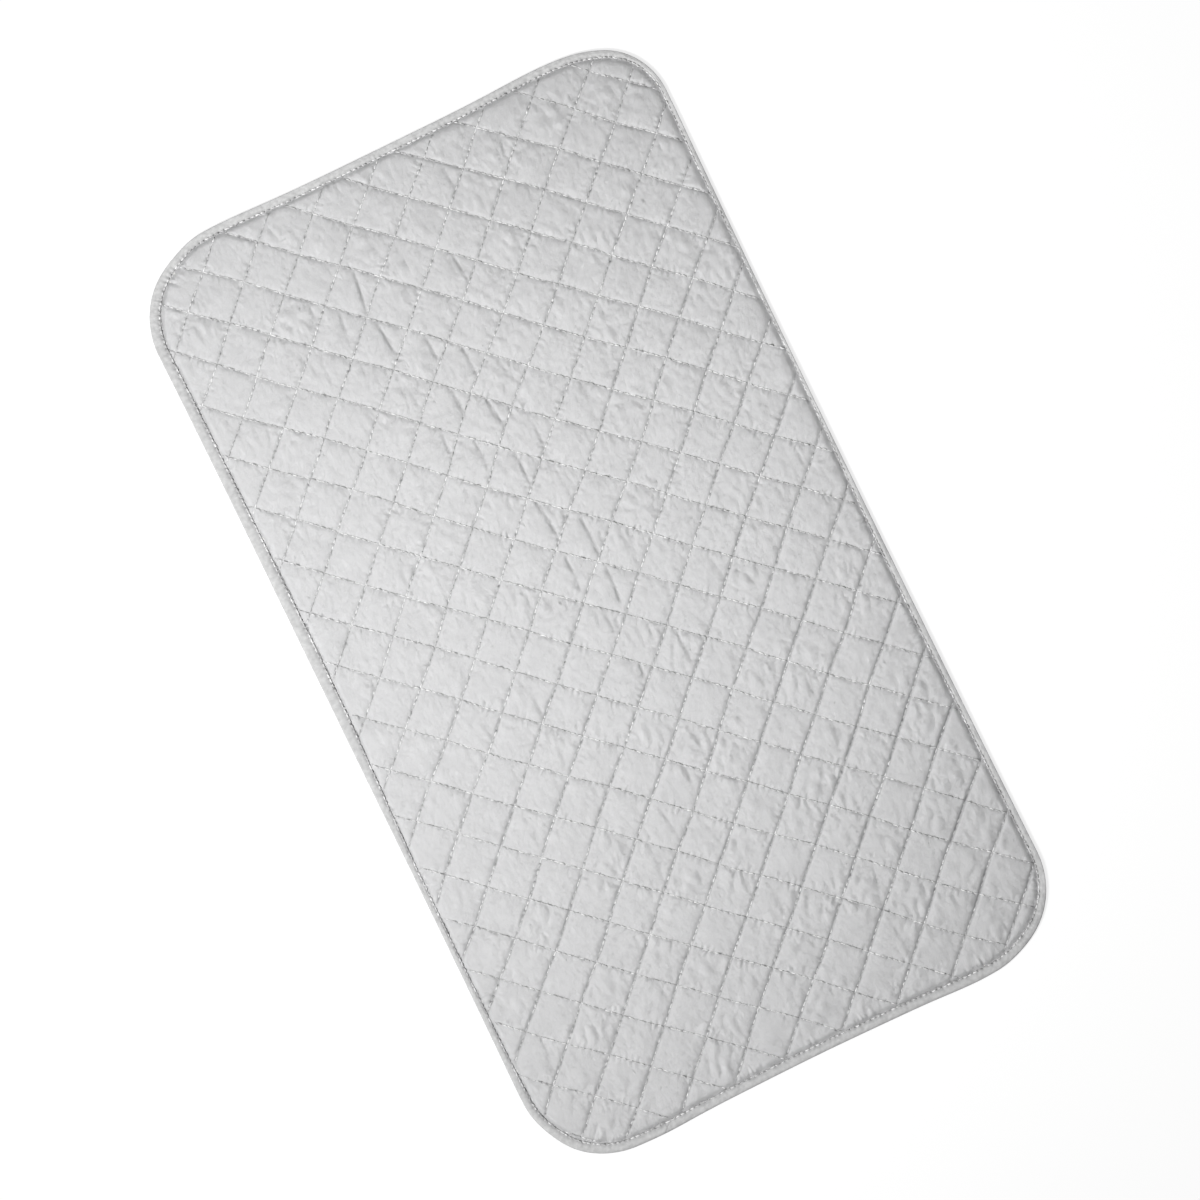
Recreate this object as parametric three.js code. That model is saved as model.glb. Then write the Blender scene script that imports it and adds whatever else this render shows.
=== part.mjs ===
// A quilted ironing pad: a coated face cloth, a wadding and a backing cloth, sewn together along two
// crossing families of straight stitch rows and edged with a folded binding tape.
// Millimetres, +Z up. The origin is the middle of the plane the pad lies on, and +X runs along its length.
import * as THREE from "three";

// Overall size
const padLength = 850;
const padWidth = 480;
// Corner radii, named by the end (-X left, +X right) and the side (-Y near, +Y far)
const leftNearRadius = 76;
const leftFarRadius = 62;
const rightNearRadius = 70;
const rightFarRadius = 74;

// Layers of the sandwich. The wadding is squeezed to its edge thickness inside the tape.
const faceClothThickness = 0.4;
const backingClothThickness = 0.4;
const edgeWadding = 0.6;
const layerGap = 0.3;
// Rise of the face in the middle of a whole diamond, and the least reach of a cut diamond that rises
const faceCrown = 2.8;
const crownedReach = 3;

// Binding tape, folded over the edge
const bindingWidth = 9;
const bindingThickness = 0.6;
const bindingClearance = 0.3;
// The seam's distance from the tape's inner edge
const bindingSeamMargin = 2;
// Beside the tape, the underside comes down to the plane within this run
const underRun = 6;
// The slanted join of the tape, on the +X end, from where the near corner's curve stops
const joinFromCorner = 30;
const joinGap = 0.5;

// Stitch rows: the direction of each family's normal from +X, the distance between rows and the
// distance of the first row from the middle
const rowDegreesA = 45.1;
const rowPitchA = 35.72;
const rowOffsetA = -11.6;
const rowDegreesB = 138.1;
const rowPitchB = 36;
const rowOffsetB = -3.9;
const threadDiameter = 0.4;
const threadGap = 0.15;
// A row that would be shorter than this at a corner isn't sewn
const shortestRow = 12;

// Fineness of the curves
const cornerSteps = 6;
const sideStep = 180;
const foldSteps = 3;
const threadSides = 6;
// Points nearer to each other than this are made one point
const snapDistance = 0.25;

// Heights of the layers inside the tape. The face keeps its height along the stitch rows, and the
// lower layers come down to the plane that the pad lies on.
const seatHeight = bindingThickness + bindingClearance;
const edgeBackingTop = seatHeight + backingClothThickness;
const edgeWaddingBottom = edgeBackingTop + layerGap;
const waddingTop = edgeWaddingBottom + edgeWadding;
const faceBottom = waddingTop + layerGap;
const faceTop = faceBottom + faceClothThickness;
const waddingBottom = backingClothThickness + layerGap;
const tapeHeight = faceTop + seatHeight;
const foldRadius = tapeHeight / 2;
const joinAcross = rightNearRadius + joinFromCorner - padWidth / 2;

const degrees = Math.PI / 180;

// The four corners, anticlockwise from the right near one
const corners = [
  { x: 1, y: -1, radius: rightNearRadius, from: -90 },
  { x: 1, y: 1, radius: rightFarRadius, from: 0 },
  { x: -1, y: 1, radius: leftFarRadius, from: 90 },
  { x: -1, y: -1, radius: leftNearRadius, from: 180 },
];

// A station on the pad's edge: a point and the direction inwards
function cornerStations(corner) {
  const centreX = corner.x * (padLength / 2 - corner.radius);
  const centreY = corner.y * (padWidth / 2 - corner.radius);
  const stations = [];
  for (let step = 0; step <= cornerSteps; step += 1) {
    const angle = (corner.from + (90 * step) / cornerSteps) * degrees;
    const outX = Math.cos(angle);
    const outY = Math.sin(angle);
    stations.push({
      x: centreX + corner.radius * outX,
      y: centreY + corner.radius * outY,
      inX: -outX,
      inY: -outY,
    });
  }
  return stations;
}

// The pad's outline, set in from its edge by a distance, with the long sides divided
function outline(inset) {
  const points = [];
  const rings = corners.map(cornerStations);
  rings.forEach((ring, index) => {
    for (const station of ring) {
      points.push(new THREE.Vector2(station.x + station.inX * inset, station.y + station.inY * inset));
    }
    const end = points[points.length - 1];
    const nextStation = rings[(index + 1) % rings.length][0];
    const next = new THREE.Vector2(
      nextStation.x + nextStation.inX * inset,
      nextStation.y + nextStation.inY * inset,
    );
    const pieces = Math.max(1, Math.round(end.distanceTo(next) / sideStep));
    for (let piece = 1; piece < pieces; piece += 1) {
      points.push(end.clone().lerp(next, piece / pieces));
    }
  });
  return points;
}

function cross(origin, a, b) {
  return (a.x - origin.x) * (b.y - origin.y) - (a.y - origin.y) * (b.x - origin.x);
}

// The part of a polygon that lies inside a convex outline
function clipToOutline(polygon, edgePoints) {
  let kept = polygon;
  edgePoints.forEach((start, index) => {
    const end = edgePoints[(index + 1) % edgePoints.length];
    const source = kept;
    kept = [];
    source.forEach((point, place) => {
      const next = source[(place + 1) % source.length];
      const here = cross(start, end, point);
      const there = cross(start, end, next);
      if (here >= 0) kept.push(point);
      if (here >= 0 !== there >= 0) kept.push(point.clone().lerp(next, here / (here - there)));
    });
  });
  return kept;
}

function family(angle, pitch, offset) {
  const normal = new THREE.Vector2(Math.cos(angle * degrees), Math.sin(angle * degrees));
  const along = new THREE.Vector2(-normal.y, normal.x);
  const rowCount = Math.ceil((Math.hypot(padLength, padWidth) / 2 + Math.abs(offset)) / pitch) + 1;
  return { normal, along, pitch, offset, rowCount };
}

const familyA = family(rowDegreesA, rowPitchA, rowOffsetA);
const familyB = family(rowDegreesB, rowPitchB, rowOffsetB);

function rowDistance(rows, index) {
  return rows.offset + index * rows.pitch;
}

// Where row a of the first family crosses row b of the second
function crossing(a, b) {
  const distanceA = rowDistance(familyA, a);
  const distanceB = rowDistance(familyB, b);
  const area = familyA.normal.cross(familyB.normal);
  return new THREE.Vector2(
    (distanceA * familyB.normal.y - distanceB * familyA.normal.y) / area,
    (distanceB * familyA.normal.x - distanceA * familyB.normal.x) / area,
  );
}

// The flat pattern of the quilting: every diamond is a fan round its middle, and a flat band runs
// round them under the tape. A point's crown is 1 in the middle of a whole diamond and 0 at a row.
function quiltPattern() {
  const points = [];
  const triangles = [];
  const seen = new Map();

  function shared(point) {
    const key = `${point.x.toFixed(4)},${point.y.toFixed(4)}`;
    if (!seen.has(key)) {
      let found = points.findIndex(
        (other) => other.crown === 0 && Math.hypot(other.x - point.x, other.y - point.y) < snapDistance,
      );
      if (found < 0) found = points.push({ x: point.x, y: point.y, crown: 0 }) - 1;
      seen.set(key, found);
    }
    return seen.get(key);
  }

  function addDiamond(polygon) {
    const ring = polygon.map(shared).filter((point, place, all) => point !== all[(place + 1) % all.length]);
    if (ring.length < 3) return;
    const middle = new THREE.Vector2();
    for (const point of ring) middle.add(new THREE.Vector2(points[point].x, points[point].y));
    middle.divideScalar(ring.length);
    let reach = Infinity;
    ring.forEach((point, place) => {
      const start = points[point];
      const end = points[ring[(place + 1) % ring.length]];
      const length = Math.hypot(end.x - start.x, end.y - start.y);
      reach = Math.min(reach, cross(start, end, middle) / length);
    });
    if (reach < crownedReach) {
      for (let place = 2; place < ring.length; place += 1) {
        triangles.push([ring[0], ring[place - 1], ring[place]]);
      }
      return;
    }
    const crown = Math.min(1, (2 * reach) / Math.min(rowPitchA, rowPitchB));
    const centre = points.push({ x: middle.x, y: middle.y, crown }) - 1;
    ring.forEach((point, place) => {
      triangles.push([point, ring[(place + 1) % ring.length], centre]);
    });
  }

  const field = outline(bindingWidth);
  for (let a = -familyA.rowCount; a < familyA.rowCount; a += 1) {
    for (let b = -familyB.rowCount; b < familyB.rowCount; b += 1) {
      const diamond = [crossing(a, b), crossing(a + 1, b), crossing(a + 1, b + 1), crossing(a, b + 1)];
      const kept = clipToOutline(diamond, field);
      if (kept.length > 2) addDiamond(kept);
    }
  }

  const inner = openEdge(triangles);
  const rim = outline(foldRadius).map((point) => points.push({ x: point.x, y: point.y, crown: 0 }) - 1);
  bridge(points, triangles, inner, rim);
  return { points, triangles, rim };
}

// The closed chain of edges that only one triangle uses, in the triangles' own direction
function openEdge(triangles) {
  const following = new Map();
  const used = new Set();
  for (const [a, b, c] of triangles) {
    for (const [start, end] of [[a, b], [b, c], [c, a]]) used.add(`${start}>${end}`);
  }
  for (const [a, b, c] of triangles) {
    for (const [start, end] of [[a, b], [b, c], [c, a]]) {
      if (!used.has(`${end}>${start}`)) following.set(start, end);
    }
  }
  const first = following.keys().next().value;
  const chain = [first];
  for (let next = following.get(first); next !== first; next = following.get(next)) chain.push(next);
  return chain;
}

// Fills the band between two chains that both run anticlockwise
function bridge(points, triangles, inner, outer) {
  const turn = (index) => Math.atan2(points[index].y, points[index].x);
  const byTurn = (chain) => {
    const lowest = chain.reduce((best, index, place) => (turn(index) < turn(chain[best]) ? place : best), 0);
    return [...chain.slice(lowest), ...chain.slice(0, lowest)];
  };
  const inside = byTurn(inner);
  const outside = byTurn(outer);
  const turnAt = (chain, place) => turn(chain[place % chain.length]) + (place >= chain.length ? 2 * Math.PI : 0);
  let i = 0;
  let o = 0;
  while (i < inside.length || o < outside.length) {
    const innerHere = inside[i % inside.length];
    const outerHere = outside[o % outside.length];
    const innerFirst = turnAt(inside, i + 1) < turnAt(outside, o + 1);
    if (o >= outside.length || (i < inside.length && innerFirst)) {
      i += 1;
      triangles.push([inside[i % inside.length], innerHere, outerHere]);
    } else {
      o += 1;
      triangles.push([innerHere, outerHere, outside[o % outside.length]]);
    }
  }
}

function solid(positions, faces) {
  const geometry = new THREE.BufferGeometry();
  geometry.setAttribute("position", new THREE.Float32BufferAttribute(positions.flat(), 3));
  geometry.setIndex(faces.flat());
  geometry.computeVertexNormals();
  return geometry;
}

// The quilted surface at a height along its rows
function quiltSurface(pattern, height) {
  return {
    points: pattern.points.map((point) => [point.x, point.y, height + point.crown * faceCrown]),
    triangles: pattern.triangles,
    rim: pattern.rim,
  };
}

// A surface that runs inside the tape at one height, then comes down to another and lies flat
function laidSurface(edgeHeight, height) {
  const insets = [foldRadius, bindingWidth, bindingWidth + underRun];
  const heights = [edgeHeight, edgeHeight, height];
  const points = [];
  const triangles = [];
  const loops = insets.map((inset, loop) =>
    outline(inset).map((point) => points.push([point.x, point.y, heights[loop]]) - 1),
  );
  for (let loop = 0; loop + 1 < loops.length; loop += 1) {
    loops[loop].forEach((start, place) => {
      const next = (place + 1) % loops[loop].length;
      const inner = loops[loop + 1];
      triangles.push([start, loops[loop][next], inner[next]], [start, inner[next], inner[place]]);
    });
  }
  const centre = points.push([0, 0, height]) - 1;
  const last = loops[loops.length - 1];
  last.forEach((start, place) => triangles.push([start, last[(place + 1) % last.length], centre]));
  return { points, triangles, rim: loops[0] };
}

// The solid between two surfaces whose rims lie above each other
function layer(low, high) {
  const lift = low.points.length;
  const faces = [];
  for (const [a, b, c] of low.triangles) faces.push([a, c, b]);
  for (const [a, b, c] of high.triangles) faces.push([a + lift, b + lift, c + lift]);
  low.rim.forEach((start, place) => {
    const next = (place + 1) % low.rim.length;
    const end = low.rim[next];
    faces.push([start, end, high.rim[next] + lift], [start, high.rim[next] + lift, high.rim[place] + lift]);
  });
  return solid([...low.points, ...high.points], faces);
}

// The tape's path: once round the edge from one side of its join to the other
function tapePath() {
  const path = [{ x: padLength / 2, y: joinAcross, inX: -1, inY: 0, slant: 1 }];
  for (const corner of [corners[1], corners[2], corners[3], corners[0]]) path.push(...cornerStations(corner));
  path.push({ x: padLength / 2, y: joinAcross - joinGap, inX: -1, inY: 0, slant: 1 });
  return path;
}

// A section of points [distance in from the edge, height], swept along the tape's path. The ends are
// cut on the slant, as a strip's ends are where they are sewn together.
function alongTape(section) {
  const positions = [];
  const faces = [];
  const path = tapePath();
  for (const station of path) {
    for (const [inset, height] of section) {
      const shift = station.slant ? bindingWidth / 2 - inset : 0;
      positions.push([station.x + station.inX * inset, station.y + station.inY * inset + shift, height]);
    }
  }
  const size = section.length;
  for (let station = 0; station + 1 < path.length; station += 1) {
    for (let place = 0; place < size; place += 1) {
      const next = (place + 1) % size;
      const here = station * size;
      const there = here + size;
      faces.push([here + place, there + place, there + next], [here + place, there + next, here + next]);
    }
  }
  const contour = section.map(([inset, height]) => new THREE.Vector2(inset, height));
  const last = (path.length - 1) * size;
  for (const [a, b, c] of THREE.ShapeUtils.triangulateShape(contour, [])) {
    faces.push([a, c, b], [last + a, last + b, last + c]);
  }
  return solid(positions, faces);
}

// The folded tape in section: round the inside of the fold from the upper leg, then round the outside
function tapeSection() {
  const section = [];
  const fold = (radius, from, to) => {
    for (let step = 0; step <= 2 * foldSteps; step += 1) {
      const angle = (from + ((to - from) * step) / (2 * foldSteps)) * degrees;
      section.push([foldRadius - radius * Math.cos(angle), foldRadius + radius * Math.sin(angle)]);
    }
  };
  section.push([bindingWidth, tapeHeight], [bindingWidth, tapeHeight - bindingThickness]);
  fold(foldRadius - bindingThickness, 90, -90);
  section.push([bindingWidth, bindingThickness], [bindingWidth, 0]);
  fold(foldRadius, -90, 90);
  return section;
}

function threadSection(inset, height) {
  const section = [];
  for (let side = 0; side < threadSides; side += 1) {
    const angle = (-2 * Math.PI * side) / threadSides;
    section.push([
      inset + (threadDiameter / 2) * Math.cos(angle),
      height + (threadDiameter / 2) * Math.sin(angle),
    ]);
  }
  return section;
}

// The two ends of a row where it meets the tape
function rowEnds(rows, index, field) {
  let low = -Infinity;
  let high = Infinity;
  const foot = rows.normal.clone().multiplyScalar(rowDistance(rows, index));
  field.forEach((start, place) => {
    const end = field[(place + 1) % field.length];
    const height = cross(start, end, foot);
    const slope = cross(start, end, foot.clone().add(rows.along)) - height;
    if (slope > 0) low = Math.max(low, -height / slope);
    else if (slope < 0) high = Math.min(high, -height / slope);
    else if (height < 0) high = -Infinity;
  });
  return { foot, low, high };
}

const faceMaterial = new THREE.MeshStandardMaterial({ color: 0xcfcfd0, roughness: 0.55, metalness: 0.2 });
const waddingMaterial = new THREE.MeshStandardMaterial({ color: 0xf1efe9, roughness: 0.95 });
const backingMaterial = new THREE.MeshStandardMaterial({ color: 0xd8d8d6, roughness: 0.9 });
const bindingMaterial = new THREE.MeshStandardMaterial({ color: 0xcacacb, roughness: 0.7 });
const threadMaterial = new THREE.MeshStandardMaterial({ color: 0xb4b4b5, roughness: 0.6 });

const pad = new THREE.Group();
pad.name = "ironing_pad";

function add(name, geometry, material) {
  const mesh = new THREE.Mesh(geometry, material.clone());
  mesh.name = name;
  pad.add(mesh);
  return mesh;
}

const pattern = quiltPattern();
const backing = layer(laidSurface(seatHeight, 0), laidSurface(edgeBackingTop, backingClothThickness));
const wadding = layer(laidSurface(edgeWaddingBottom, waddingBottom), quiltSurface(pattern, waddingTop));
const face = layer(quiltSurface(pattern, faceBottom), quiltSurface(pattern, faceTop));
add("backing_cloth", backing, backingMaterial);
add("wadding", wadding, waddingMaterial);
add("face_cloth", face, faceMaterial);
add("edge_binding", alongTape(tapeSection()), bindingMaterial);
const seamHeight = tapeHeight + threadGap + threadDiameter / 2;
add("binding_thread", alongTape(threadSection(bindingWidth - bindingSeamMargin, seamHeight)), threadMaterial);

// The second family's threads lie over the first family's where the rows cross
function addRows(letter, rows, height) {
  const field = outline(bindingWidth + bindingClearance);
  let number = 0;
  for (let index = -rows.rowCount; index <= rows.rowCount; index += 1) {
    const { foot, low, high } = rowEnds(rows, index, field);
    if (high - low < shortestRow) continue;
    number += 1;
    const middle = foot.clone().addScaledVector(rows.along, (low + high) / 2);
    const radius = threadDiameter / 2;
    const name = `quilt_row_${letter}${String(number).padStart(2, "0")}`;
    const row = add(name, new THREE.CylinderGeometry(radius, radius, high - low, threadSides), threadMaterial);
    row.position.set(middle.x, middle.y, height);
    row.rotation.z = rows.normal.angle();
  }
}

const lowThread = faceTop + threadGap + threadDiameter / 2;
addRows("a", familyA, lowThread);
addRows("b", familyB, lowThread + threadDiameter + threadGap);

export default pad;
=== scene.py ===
"""A quilted ironing pad, sewn and laid flat, for Blender 4.5.

The face cloth and the backing cloth are flat grids that follow the stitch rows. They are held where
they are sewn, given some spare cloth, and blown up by a cloth simulation, so that the diamonds rise
and the cloth puckers at the stitches. Everything else is laid on what they give.
Lengths are in metres unless a name or a comment says otherwise.
"""

import math

import bpy
import numpy as np
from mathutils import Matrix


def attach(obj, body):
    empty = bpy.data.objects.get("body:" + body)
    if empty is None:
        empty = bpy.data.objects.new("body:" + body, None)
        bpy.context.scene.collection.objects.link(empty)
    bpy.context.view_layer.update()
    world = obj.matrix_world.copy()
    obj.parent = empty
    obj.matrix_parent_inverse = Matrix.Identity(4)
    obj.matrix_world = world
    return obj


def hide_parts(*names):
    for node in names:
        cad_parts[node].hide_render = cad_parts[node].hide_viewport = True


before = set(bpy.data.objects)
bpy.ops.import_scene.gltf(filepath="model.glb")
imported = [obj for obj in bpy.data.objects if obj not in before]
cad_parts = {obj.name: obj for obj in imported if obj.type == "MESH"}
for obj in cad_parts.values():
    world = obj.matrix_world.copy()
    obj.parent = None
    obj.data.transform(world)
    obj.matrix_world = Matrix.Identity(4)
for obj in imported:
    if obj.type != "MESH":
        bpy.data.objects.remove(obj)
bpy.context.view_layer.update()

MM = 0.001
TINY = 1e-9

# The pad, as in its solids. A corner is named by the signs of its X and its Y
HALF_LENGTH = 0.850 / 2
HALF_WIDTH = 0.480 / 2
CORNER_RADII = {(1, -1): 0.070, (1, 1): 0.074, (-1, 1): 0.062, (-1, -1): 0.076}
# Keeps the random patterns along the edge of one half apart from the other half's
HALVES_APART = 3.7
# How far the pad lifts off the table where it doesn't lie flat
LIFT = 0.45 * MM

# Stitch rows: the turn of each family's normal, the distance between rows, the first row's place
ROW_TURN = (45.1, 138.1)
ROW_PITCH = (35.72 * MM, 36.0 * MM)
ROW_OFFSET = (-11.6 * MM, -3.9 * MM)
ROW_NORMAL = np.array([[math.cos(math.radians(t)), math.sin(math.radians(t))] for t in ROW_TURN])
ROW_INVERSE = np.linalg.inv(ROW_NORMAL)
ROWS_EACH_WAY = 15
STITCHES_PER_DIAMOND = 7
THREAD_RADIUS = 0.42 * MM
STITCH_SLANT = 0.16 * MM

# Grid lines from row to row in each layer, and the length of the simulation
FACE_STEPS = 28
BACK_STEPS = 14
WADDING_STEPS = 7
SIM_FRAMES = 5

# Heights of the cloths along the rows and at the edge, and how they come up from the edge
FACE_HOLE_Z = 3.2 * MM
FACE_EDGE_Z = 2.45 * MM
BACK_HOLE_Z = 1.0 * MM
BACK_EDGE_Z = 0.9 * MM
CLOTH_EDGE_INSET = 2.5 * MM
HELD_EDGE = 0.5 * MM
HEM_RUN = 4 * MM
FULL_RUN = 12 * MM
# How softly the table presses the backing flat
TABLE_SOFTNESS = 0.25 * MM

# How the face rises from the rows: bulges between holes, walls, crowns, folds, crumpling and puckers
BEAD_HEIGHT = 0.40 * MM
WALL_HEIGHT = 1.4 * MM
GROOVE_REACH = 0.9 * MM
EDGE_REACH = 1.3 * MM
CROWN = 0.85 * MM
FOLD_LIMIT = 0.45 * MM
CRUMPLE = 0.31 * MM
PUCKER_HEIGHT = 0.52 * MM
PUCKER_REACH = 2.6 * MM
EDGE_PUCKER = 0.75 * MM
# How far the painted shade reaches out from the rows and from the tape's edge
SHADE_PAINT_REACH = 1.1 * MM
FACE_TRIANGLES = 195000
# Faces whose normals rise less than this are slivers to be smoothed
STEEP_FACE = 0.5

# The binding tape: its width on the face, its height, its sections, its fold, its seam and its join
TAPE_WIDTH = 9.0 * MM
TAPE_HEIGHT = 3.8 * MM
TAPE_STEP = 0.9 * MM
TAPE_FOLD = 1.6 * MM
SEAM_INSET = 8.0 * MM
SEAM_STITCH = 4.7 * MM
SEAM_THREAD_RADIUS = 0.56 * MM
JOIN_FROM_CORNER = 30 * MM
LAP_HEIGHT = 0.7 * MM
LAP_LENGTH = 26 * MM
GATHER_LENGTH = 6.1 * MM

# How much of the tape shows on the face, in mm: at places along the near and the far side, and at the ends
TAPE_NEAR = (
    (-297, 9.7), (-60, 10.8), (0, 10.0), (60, 7.8), (127, 5.5), (212, 5.0), (297, 5.6), (390, 8.0),
)
TAPE_FAR = (
    (-297, 4.2), (-212, 2.8), (-127, 2.6), (-42, 3.2), (42, 5.2), (127, 6.0), (212, 5.4), (390, 6.4),
)
TAPE_ENDS = (7.4, 9.0)

# Creases in the face from folding, in mm: X and Y of the start, X and Y of the end, depth, width
CREASES = [
    (-340, -63, -301, -69, 1.5, 1.1),
    (-295, -65, -263, -62, 1.5, 1.1),
    (-315, 18, -288, 20, 1.1, 0.9),
    (-265, -33, -240, -32, 1.2, 1.5),
    (-243, -9, -216, -8, 1.3, 1.5),
    (-220, 13, -201, 16, 0.6, 1.4),
    (-217, -33, -188, -32, 1.2, 1.6),
    (-195, -10, -170, -6, 1.3, 1.1),
    (-182, 5, -170, 3, 0.8, 0.9),
    (-157, 17, -129, 16, 0.9, 1.0),
    (-185, -56, -162, -58, 0.9, 1.1),
    (-167, -34, -140, -34, 1.1, 1.2),
    (-233, -66, -213, -64, 0.6, 1.6),
    (-145, -8, -111, -8, 1.2, 1.0),
    (-135, 5, -121, 7, 0.9, 0.8),
    (-127, 15, -112, 13, 0.7, 0.9),
    (-136, -59, -124, -59, 0.5, 1.0),
    (-100, -10, -56, -6, 1.3, 1.0),
    (-96, -5, -81, -1, 0.7, 0.8),
    (-84, 6, -73, 6, 0.6, 0.8),
    (-71, 18, -30, 18, 1.1, 0.9),
    (-47, -8, -14, -9, 1.1, 0.9),
    (-24, 19, 10, 17, 1.3, 1.0),
    (4, -5, 20, -8, 0.6, 0.9),
    (13, 1, 32, 1, 0.7, 0.9),
    (15, 8, 29, 6, 0.6, 0.8),
    (48, 48, 79, 49, 0.8, 0.9),
    (61, 9, 77, 7, 0.8, 1.0),
    (-275, -120, -256, -122, 0.5, 1.4),
    (-267, -92, -243, -93, 0.5, 1.4),
]

# White, and the colour of the painted shade in the grooves, the needle holes, the seams and the folds
WHITE = (1, 1, 1, 1)
PAINTED_SHADE_COLOUR = (0.10, 0.10, 0.105, 1)

# The camera's picture: its turn, its width on the pad, the camera's height and the picture's shift
VIEW_TURN = math.radians(64.04)
VIEW_WIDTH = 1.0093
VIEW_HEIGHT = 2.4
VIEW_SHIFT = (2.0 * MM, 1.6 * MM)
SENSOR_WIDTH_MM = 36.0

# The lamp, across and along the picture and above the table, and what it points at
LAMP_PLACE = (-0.79, -0.55)
LAMP_HEIGHT = 1.47
LAMP_AIM = (0.41, 0.73)
LAMP_SIZE = 0.4
LAMP_WATTS = 15.2
LAMP_SPREAD = math.radians(120)
# The sky's strength, from low down to overhead
SKY_STRENGTH = (0.05, 0.33)
# The table's grey for the light that it throws back, and what the camera sees on top of it
TABLE_GREY = 0.3
TABLE_GLOW = 0.77


def hump(value, middle, reach):
    """1 at the middle, falling off to both sides."""
    return np.exp(-(((value - middle) / reach) ** 2))


def rising(value, middle, run):
    """0 well before the middle and 1 well past it."""
    return 1 / (1 + np.exp(-(value - middle) / run))


def climb(value, run):
    """0 up to zero, then an even climb to 1 at the end of the run."""
    return np.clip(value / run, 0, 1)


def waves(x, y, wavelength, seed, count=18):
    """A smooth random field of about unit size with one main wavelength."""
    rng = np.random.default_rng(seed)
    total = np.zeros_like(x)
    for _ in range(count):
        turn = rng.uniform(0, 2 * math.pi)
        rate = 2 * math.pi / (wavelength * rng.uniform(0.75, 1.35))
        total += np.cos(rate * (x * math.cos(turn) + y * math.sin(turn)) + rng.uniform(0, 2 * math.pi))
    return total * math.sqrt(2.0 / count)


def nearest_corner(x, y):
    """The signs and the radius of the corner nearest to each point."""
    sign_x = np.where(x >= 0, 1, -1)
    sign_y = np.where(y >= 0, 1, -1)
    radius = np.zeros_like(x)
    for (corner_x, corner_y), size in CORNER_RADII.items():
        radius[(sign_x == corner_x) & (sign_y == corner_y)] = size
    return sign_x, sign_y, radius


def edge_depth(x, y):
    """How far points lie in from the pad's edge, and the direction inwards there."""
    sign_x, sign_y, radius = nearest_corner(x, y)
    to_end = HALF_LENGTH - np.abs(x)
    to_side = HALF_WIDTH - np.abs(y)
    past_x = radius - to_end
    past_y = radius - to_side
    reach = np.maximum(np.hypot(past_x, past_y), TINY)
    rounded = (past_x > 0) & (past_y > 0)
    by_end = to_end < to_side
    depth = np.where(rounded, radius - reach, np.minimum(to_end, to_side))
    in_x = np.where(rounded, -sign_x * past_x / reach, np.where(by_end, -sign_x, 0))
    in_y = np.where(rounded, -sign_y * past_y / reach, np.where(by_end, 0, -sign_y))
    return depth, in_x, in_y


def edge_run(x, y):
    """How far along the pad's edge points lie, from the middle of the nearer end."""
    sign_x, sign_y, radius = nearest_corner(x, y)
    past_x = np.maximum(radius - (HALF_LENGTH - np.abs(x)), 0)
    past_y = np.maximum(radius - (HALF_WIDTH - np.abs(y)), 0)
    turn = np.arctan2(past_y, np.maximum(past_x, TINY))
    to_corner = np.minimum(np.abs(y), HALF_WIDTH - radius)
    beyond = np.where(past_x > 0, 0, HALF_LENGTH - radius - np.abs(x))
    return sign_y * (to_corner + radius * turn + beyond) + HALVES_APART * sign_x


def tape_shown(x, y):
    """How much of the tape's width shows on the face at the edge nearest to each point."""
    near, far = np.array(TAPE_NEAR).T, np.array(TAPE_FAR).T
    side = np.where(y < 0, np.interp(x / MM, *near), np.interp(x / MM, *far))
    end = np.where(x < 0, *TAPE_ENDS)
    along = edge_depth(x, y)[2] ** 2
    return (side * along + end * (1 - along)) * MM


def pulled_in(x, y):
    """How the binding draws the edges in half way along them and lets them out near the corners."""
    across = np.abs(y)
    far_end = 2.1 * hump(across, 0.147, 0.036) - 1.1 * hump(y, 0, 0.070) - 1.3 * hump(y, 0.195, 0.025)
    near_end = 2.1 - 2.3 * hump(across, 0.148, 0.050) + 2.1 * hump(across, 0.195, 0.022)
    from_middle = np.clip((x / 0.330) ** 2, 0, 1.1)
    far_side = 2.0 * from_middle - 1.9
    near_side = 2.4 * hump(x, 0.386, 0.024) - 0.9 * from_middle**2
    by_end = climb(np.abs(x), HALF_LENGTH) ** 4
    by_side = climb(across, HALF_WIDTH) ** 2
    dx = np.where(x > 0, far_end, near_end) * MM * by_end
    dy = np.where(y > 0, far_side, near_side) * MM * by_side
    return dx, dy


def lie(x, y):
    """How far the pad lifts off the table as it lies there, in long low waves."""
    swell = waves(x, y, 0.31, 11) * 0.5 + waves(x, y, 0.19, 12) * 0.3
    return LIFT * np.log1p(np.exp(1.6 * swell))


def stray(x, y, seed):
    """Long and short waves in a sewn line."""
    return 0.55 * MM * waves(x, y, 0.17, seed) + 0.25 * MM * waves(x, y, 0.07, seed + 1)


def row_wander(x, y):
    """How far the sewn rows stray from straight lines, and are pulled aside near two places."""
    pull_a = -3.4 * MM * np.exp(-((x + 0.190) ** 2 + (y + 0.025) ** 2) / (2 * 0.042**2))
    pull_b = -2.2 * MM * np.exp(-((x + 0.150) ** 2 + (y - 0.025) ** 2) / (2 * 0.075**2))
    pull_a = pull_a + (0.9 + 1.4 * x) * MM
    pull_b = pull_b + 0.5 * MM
    dx = stray(x, y, 21) + pull_a * ROW_NORMAL[0, 0] + pull_b * ROW_NORMAL[1, 0]
    dy = stray(x, y, 23) + pull_a * ROW_NORMAL[0, 1] + pull_b * ROW_NORMAL[1, 1]
    return dx, dy


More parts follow.
